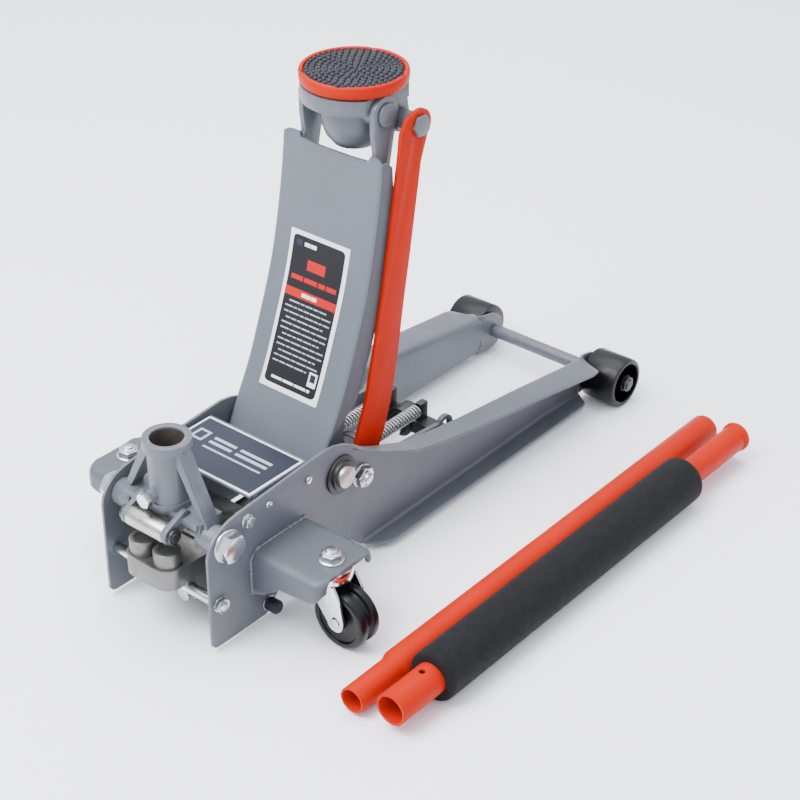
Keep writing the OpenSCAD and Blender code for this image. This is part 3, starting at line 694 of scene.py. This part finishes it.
def _frame(bm):
    for sg in (1, -1):
        f = axial("y", (12.5, 54.5), sg)
        round_part(bm, f, 8.5, 74, 75.4, 0.3)
        hex_part(bm, f, 15, 75.4, 80.4, 0.1 if sg > 0 else 0.6, 0.5)
        f = axial("y", (55, 130), sg)
        round_part(bm, f, 4, 60, 74.2)
        round_part(bm, f, 8, 74, 75, 0.3)
        hex_part(bm, f, 11.5, 75, 80, 0.8)
        for x, z in ((85, 133), (143, 132)):
            f = axial("y", (x, z), sg)
            round_part(bm, f, 2.5, 66.3, 74.2)
            round_part(bm, f, 4.2, 74, 76.2, 0.8)
            round_part(bm, f, 1.3, 76.0, 76.25, 0.1, 6)
        f = axial("y", (79, 17), sg)
        round_part(bm, f, 8.4, 74, 76, 0.5)


def _stems(bm):
    for sg in (1, -1):
        at = (100, 142 * sg)
        f = axial("z", at)
        round_part(bm, f, 6, 67, 96)
        round_part(bm, f, 10, 67, 70.4)
        round_part(bm, f, 13, 90.65, 92.25, 0.4)
        hex_part(bm, f, 19.05, 92.25, 99.4, 0.25)
        round_part(bm, f, 8.6, 99.0, 100.85, 0.9)
        thread_part(bm, f, 6, 99.6, 103.1)


def _tie(bm):
    f = axial("y", (12.5, 54.5), 1)
    round_part(bm, f, 6, -71, 71, 0.3)
    for sg in (1, -1):
        f = axial("y", (12.5, 54.5), sg)
        round_part(bm, f, 4.6, 70.9, 78)
        thread_part(bm, f, 5, 77, 81)


def _set_bolt(bm):
    f = axial("x", (3, 152), 1)
    round_part(bm, f, 4, 8.3, -2, 0.5)
    hex_part(bm, f, 14.9, -1.5, -8.4, 0.3)


fasteners("yoke_pivot_bolts", _yoke)
fasteners("link_pivot_bolt", _link_base)
fasteners("link_top_bolt", _link_top, M["frame_paint"])
fasteners("frame_fasteners", _frame)
fasteners("caster_stems", _stems)
fasteners("rear_tie_rod", _tie)
fasteners("socket_set_bolt", _set_bolt)

# ---------------------------------------------------------------- bore of the handle socket
M["bore"] = make_mat("bore", (0.075, 0.062, 0.055), 0.6, metal=0.4, var=0.3, var_scale=60, rvar=0.15, bump=0.3, bump_scale=300, dirt=0.5)
_lo, _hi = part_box("handle_socket")
_ax = W(26.5, 0, 0)
bm = bmesh.new()
_rows = []
for _k in range(64):
    _c = Vector((math.cos(2 * math.pi * _k / 64), math.sin(2 * math.pi * _k / 64), 0))
    _rows.append([bm.verts.new(_ax + _c * r + Vector((0, 0, z))) for r, z in ((0.01724, 0.1415), (0.01724, 0.2085), (0.01712, 0.2085), (0.01712, 0.1415))])
for _k in range(64):
    _A, _B = _rows[_k], _rows[(_k + 1) % 64]
    for _i in range(4):
        bm.faces.new((_A[_i], _B[_i], _B[(_i + 1) % 4], _A[(_i + 1) % 4]))
finish_obj(add_obj(bm, "socket_bore_lining"), None, body=BODY_OF["handle_socket"], mat=M["bore"], ang=34)

# ---------------------------------------------------------------- name plate
def slab(name, x0, x1, y0, y1, z0, z1, mat, node=None, body="frame", bevel=0.0, corner=0.0):
    pts = []
    if corner:
        for cx, cy, a0 in ((x1 - corner, y1 - corner, 0), (x0 + corner, y1 - corner, 90), (x0 + corner, y0 + corner, 180), (x1 - corner, y0 + corner, 270)):
            for k in range(6):
                a = math.radians(a0 + 18 * k)
                pts.append((cx + corner * math.cos(a), cy + corner * math.sin(a)))
    else:
        pts = [(x1, y1), (x0, y1), (x0, y0), (x1, y0)]
    bm = bmesh.new()
    f = bm.faces.new([bm.verts.new(W(x, y, z0)) for x, y in pts])
    r = bmesh.ops.extrude_face_region(bm, geom=[f])
    bmesh.ops.translate(bm, vec=(0, 0, (z1 - z0) / 1000), verts=[v for v in r["geom"] if isinstance(v, bmesh.types.BMVert)])
    o = add_obj(bm, name)
    if bevel:
        bevel_mod(o, bevel, 2, 50)
    return finish_obj(o, node, body=body, mat=mat, ang=30)


slab("name_plate_skin", 69, 147, -65, 65, 147.4, 148.1, M["label_white"], "name_plate", bevel=0.0001, corner=1.5)
slab("name_plate_panel", 71.5, 144.5, -62.5, 62.5, 148.1, 148.22, M["plate_blue"], corner=1.0)
slab("np_mark", 108, 126, 40, 56, 148.22, 148.3, M["label_grey"], corner=1)
slab("np_mark2", 111, 123, 43, 53, 148.3, 148.36, M["plate_blue"], corner=1)
for _i, (_y0, _y1) in enumerate(((-46, -4), (2, 32))):
    slab("np_a%d" % _i, 119, 123, _y0, _y1, 148.22, 148.3, M["label_grey"])
    slab("np_b%d" % _i, 111, 115, _y0, _y1, 148.22, 148.3, M["label_grey"])
slab("np_s0", 102, 104.5, -46, 32, 148.22, 148.3, M["label_grey"])

# ---------------------------------------------------------------- saddle
SX, SZ = 304.0, 499.0


def place(bm, name, at, node, mat, ang=34, bevel=0.0):
    o = add_obj(bm, name)
    for v in o.data.vertices:
        v.co += at
    if bevel:
        bevel_mod(o, bevel, 2, 40)
    return finish_obj(o, node, body=None if node else "saddle", mat=mat, ang=ang)


def saddle_ring():
    prof = [(0, -13.5), (50.5, -13.5), (52.8, -12.6), (54.0, -10.8), (54.5, -7), (54.5, -2.4), (54.0, -0.9), (52.9, 0), (51.2, 0), (50.1, -0.6), (49.7, -1.8), (49.6, -9), (0, -9)]
    seg = 144
    bm = bmesh.new()
    rows = []
    for k in range(seg):
        a = 2 * math.pi * k / seg
        # three shallow notches in the inner lip
        row = []
        for i, (r, h) in enumerate(prof):
            if 7 <= i <= 10:
                notch = sum(smoothstep(1 - abs(((math.degrees(a) - c + 180) % 360) - 180) / 7.0) for c in (20, 140, 205, 290))
                h = h - (2.6 * notch if i in (8, 9, 10) else 0.8 * notch)
            row.append(bm.verts.new((r * math.cos(a) / 1000, r * math.sin(a) / 1000, h / 1000)))
        rows.append(row)
    for k in range(seg):
        A, B = rows[k], rows[(k + 1) % seg]
        for i in range(len(prof) - 1):
            bm.faces.new((A[i], B[i], B[i + 1], A[i + 1]))
    bmesh.ops.remove_doubles(bm, verts=bm.verts, dist=1e-7)
    stem = bmesh.ops.create_cone(bm, cap_ends=True, segments=32, radius1=0.00799, radius2=0.00799, depth=0.041, matrix=Matrix.Translation((0, 0, -0.034)))
    return place(bm, "saddle_ring_skin", W(SX, 0, SZ), "saddle_ring", M["orange_paint"], 40)


saddle_ring()


def saddle_pad():
    bm = lathe([(0, -0.009), (0.0488, -0.009), (0.0494, -0.0084), (0.0494, -0.0012), (0.0490, -0.0006), (0.0470, -0.0004), (0, -0.0002)], "x", 96)
    rng = random.Random(3)
    for ring in range(0, 8):
        r = 3.2 + 6.15 * ring
        cnt = max(3, int(round(2 * math.pi * r / 6.9)))
        for k in range(cnt):
            a = 2 * math.pi * (k + 0.5 * (ring % 2)) / cnt
            rr = 0.0021
            prof = [(rr * 1.1, -0.0006), (rr, 0.0006), (rr * 0.86, 0.0016), (rr * 0.52, 0.0023), (0, 0.0025)]
            sub = 10
            c = Vector((r * math.cos(a) / 1000, r * math.sin(a) / 1000, 0))
            rows = [[bm.verts.new(c + Vector((p * math.cos(2 * math.pi * j / sub), p * math.sin(2 * math.pi * j / sub), h))) for j in range(sub)] for p, h in prof[:-1]]
            tip = bm.verts.new(c + Vector((0, 0, prof[-1][1])))
            for A, B in zip(rows, rows[1:]):
                for j in range(sub):
                    bm.faces.new((A[j], A[(j + 1) % sub], B[(j + 1) % sub], B[j]))
            for j in range(sub):
                bm.faces.new((rows[-1][j], rows[-1][(j + 1) % sub], tip))
            bm.faces.new(rows[0][::-1])
    o = place(bm, "saddle_pad_skin", W(SX, 0, SZ - 1.5), "saddle_pad", M["rubber"], 50)
    return o


saddle_pad()

# ---------------------------------------------------------------- front rollers
for _s, _nm in ((1, "left"), (-1, "right")):
    _lo, _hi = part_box("front_wheel_" + _nm)
    _cx, _cz, _R = (_lo.x + _hi.x) / 2, (_lo.z + _hi.z) / 2, (_hi.z - _lo.z) / 2
    _w = _hi.y - _lo.y
    prof = [(0.0061, 0), (_R - 0.004, 0), (_R - 0.001, 0.0008), (_R, 0.003), (_R, _w - 0.003), (_R - 0.0009, _w - 0.0009), (_R - 0.003, _w), (_R - 0.0048, _w), (_R - 0.0058, _w - 0.0008), (_R - 0.0066, _w - 0.024), (_R - 0.008, _w - 0.0255), (0.0105, _w - 0.0255), (0.0098, _w - 0.024), (0.0098, _w - 0.0012), (0.009, _w - 0.0004), (0.0061, _w - 0.0004)]
    bm = lathe(prof + [prof[0]], "w", 96)
    # lathe about Z turned to lie along Y, open side outwards
    rot = Matrix.Rotation(math.radians(-90 if _s > 0 else 90), 4, "X")
    bmesh.ops.transform(bm, matrix=rot, verts=bm.verts)
    o = add_obj(bm, "front_wheel_%s_skin" % _nm)
    base = Vector((_cx, _lo.y if _s > 0 else _hi.y, _cz))
    for v in o.data.vertices:
        v.co += base
    finish_obj(o, "front_wheel_" + _nm, mat=M["caster_black"], ang=34)


# ---------------------------------------------------------------- caster wings
def wing(s, node):
    grid = []
    ys = [74.0, 78, 84, 90, 97, 104, 112, 120, 130, 140, 148, 152, 154, 156, 158, 159.5, 160.5, 161.3, 162]
    R = 8.0
    zt = 90.65 - 2.0
    for y in ys:
        e = max(0.0, (y - 152) / 10)
        c = 10 * (1 - math.sqrt(max(0.0, 1 - e * e)))
        x0 = 58.6 + c; x1 = 139.5 - c
        zr = interp([(74, 41), (90, 47), (112, 63.5), (150, 66), (158, 70), (162, 78)], y)
        zf = interp([(74, 66), (100, 78), (150, 79), (162, 80)], y)
        zr = min(zr, zt - R - 0.4); zf = min(zf, zt - R - 0.3)
        pts = [(x0, lerp(zr, zt - R, k / 5)) for k in range(5)]
        pts += [(x0 + R - R * math.cos(math.radians(a)), zt - R + R * math.sin(math.radians(a))) for a in range(0, 91, 13)]
        pts += [(lerp(x0 + R, x1 - R, k / 8), zt) for k in range(0, 9)]
        pts += [(x1 - R + R * math.sin(math.radians(a)), zt - R + R * math.cos(math.radians(a))) for a in range(0, 91, 15)]
        pts += [(x1, lerp(zt - R, zf, k / 3)) for k in range(1, 4)]
        grid.append([W(x, s * y, z) for x, z in pts])
    o = sheet_obj(grid, 0.004, node + "_skin", 0.0009, 3)
    return finish_obj(o, node, mat=M["wing_paint"], ang=40)


wing(1, "caster_wing_left")
wing(-1, "caster_wing_right")
for _s in (1, -1):
    rng = random.Random(9)
    path = [W(56.4, _s * 75.0, lerp(40.5, 82, k / 22)) for k in range(23)] + [W(lerp(57, 66, k / 4), _s * 75.0, lerp(84, 90.8, k / 4)) for k in range(5)] + [W(lerp(70, 138, k / 30), _s * 75.0, 91.0) for k in range(31)]
    rad = [0.0019 + 0.0005 * math.sin(k * 1.9) + rng.uniform(-0.0002, 0.0002) for k in range(len(path))]
    rad[0] = rad[-1] = 0.0008
    o = add_obj(tube_along(path, rad, "w", 10), "wing_weld_%d" % _s)
    finish_obj(o, None, body="frame", mat=M["frame_paint"], ang=60)


# ---------------------------------------------------------------- foam grip
def foam():
    up = (24, -280.6, 27)
    prof = []
    L0, L1, RF = 60.0, 495.0, 26.75
    for t, r in ((0, 18.5), (0, 23.8), (0.8, 25.4), (2.6, 26.4), (6, RF), (30, RF), (110, RF - 0.15), (217, RF), (330, RF - 0.15), (405, RF), (429, RF), (432.4, 26.4), (434.2, 25.4), (435, 23.8), (435, 17.0)):
        prof.append((r, L0 + t))
    rings = []
    seg = 72
    for r, t in prof:
        rings.append([W(up[0] + t, up[1] + r * math.cos(2 * math.pi * k / seg), up[2] + r * math.sin(2 * math.pi * k / seg)) for k in range(seg)])
    # bore along the tube
    for t, r in ((L1, 15.3), (L0 + 50, 15.3), (L0 + 46, 17.05), (L0, 17.05)):
        rings.append([W(up[0] + t, up[1] + r * math.cos(2 * math.pi * k / seg), up[2] + r * math.sin(2 * math.pi * k / seg)) for k in range(seg)])
    rings.append(rings[0])
    bm = loft(rings, True, False)
    bmesh.ops.remove_doubles(bm, verts=bm.verts, dist=1e-7)
    o = add_obj(bm, "handle_foam_grip_skin")
    finish_obj(o, "handle_foam_grip", mat=M["foam"], ang=40)
    return o


foam()

# ---------------------------------------------------------------- stage
bm = bmesh.new()
bmesh.ops.create_grid(bm, x_segments=1, y_segments=1, size=9)
floor = add_obj(bm, "floor")
floor.location = (0, 0, -0.0004)
fm = bpy.data.materials.new("floor"); fm.use_nodes = True
fb = fm.node_tree.nodes["Principled BSDF"]
fb.inputs["Base Color"].default_value = (0.95, 0.95, 1.0, 1); fb.inputs["Roughness"].default_value = 0.7
fb.inputs["Specular IOR Level"].default_value = 0.2
floor.data.materials.append(fm)

w = bpy.data.worlds.new("studio"); bpy.context.scene.world = w; w.use_nodes = True
bg = w.node_tree.nodes["Background"]
_n = w.node_tree.nodes
_tc = _n.new("ShaderNodeTexCoord"); _sx = _n.new("ShaderNodeSeparateXYZ"); _rp = _n.new("ShaderNodeValToRGB")
w.node_tree.links.new(_tc.outputs["Generated"], _sx.inputs[0]); w.node_tree.links.new(_sx.outputs["Z"], _rp.inputs["Fac"])
_rp.color_ramp.elements[0].position = 0.0; _rp.color_ramp.elements[0].color = (0.30, 0.31, 0.34, 1)
_rp.color_ramp.elements[1].position = 0.75; _rp.color_ramp.elements[1].color = (0.93, 0.95, 1.0, 1)
_e = _rp.color_ramp.elements.new(0.3); _e.color = (0.52, 0.54, 0.58, 1)
w.node_tree.links.new(_rp.outputs["Color"], bg.inputs["Color"]); bg.inputs["Strength"].default_value = 2.3


def area(name, loc, target, size, power, col=(1, 1, 1)):
    l = bpy.data.lights.new(name, "AREA"); l.energy = power; l.size = size; l.color = col
    o = bpy.data.objects.new(name, l); bpy.context.scene.collection.objects.link(o)
    o.location = loc
    o.rotation_euler = (Vector(target) - Vector(loc)).to_track_quat("-Z", "Y").to_euler()
    return o


area("key", (-1.4, 0.5, 2.2), (0, 0, 0.15), 1.4, 105)
area("top", (0.4, 0.6, 2.6), (0, 0, 0.1), 2.2, 60)

cam = bpy.data.cameras.new("cam"); co = bpy.data.objects.new("cam", cam)
bpy.context.scene.collection.objects.link(co)
cam.sensor_width = 36; cam.sensor_fit = "HORIZONTAL"; cam.lens = 88.57; cam.clip_start = 0.01; cam.clip_end = 100
yaw, pitch, roll = math.radians(39.762), math.radians(32.076), math.radians(0.09)
d = Vector((math.cos(yaw) * math.cos(pitch), math.sin(yaw) * math.cos(pitch), -math.sin(pitch)))
r = d.cross(Vector((0, 0, 1))).normalized(); u = r.cross(d)
r2 = math.cos(roll) * r + math.sin(roll) * u; u2 = -math.sin(roll) * r + math.cos(roll) * u
mw = Matrix((r2, u2, -d)).transposed().to_4x4(); mw.translation = W(-1039.189, -1176.157, 1236.869)
co.matrix_world = mw
bpy.context.scene.camera = co
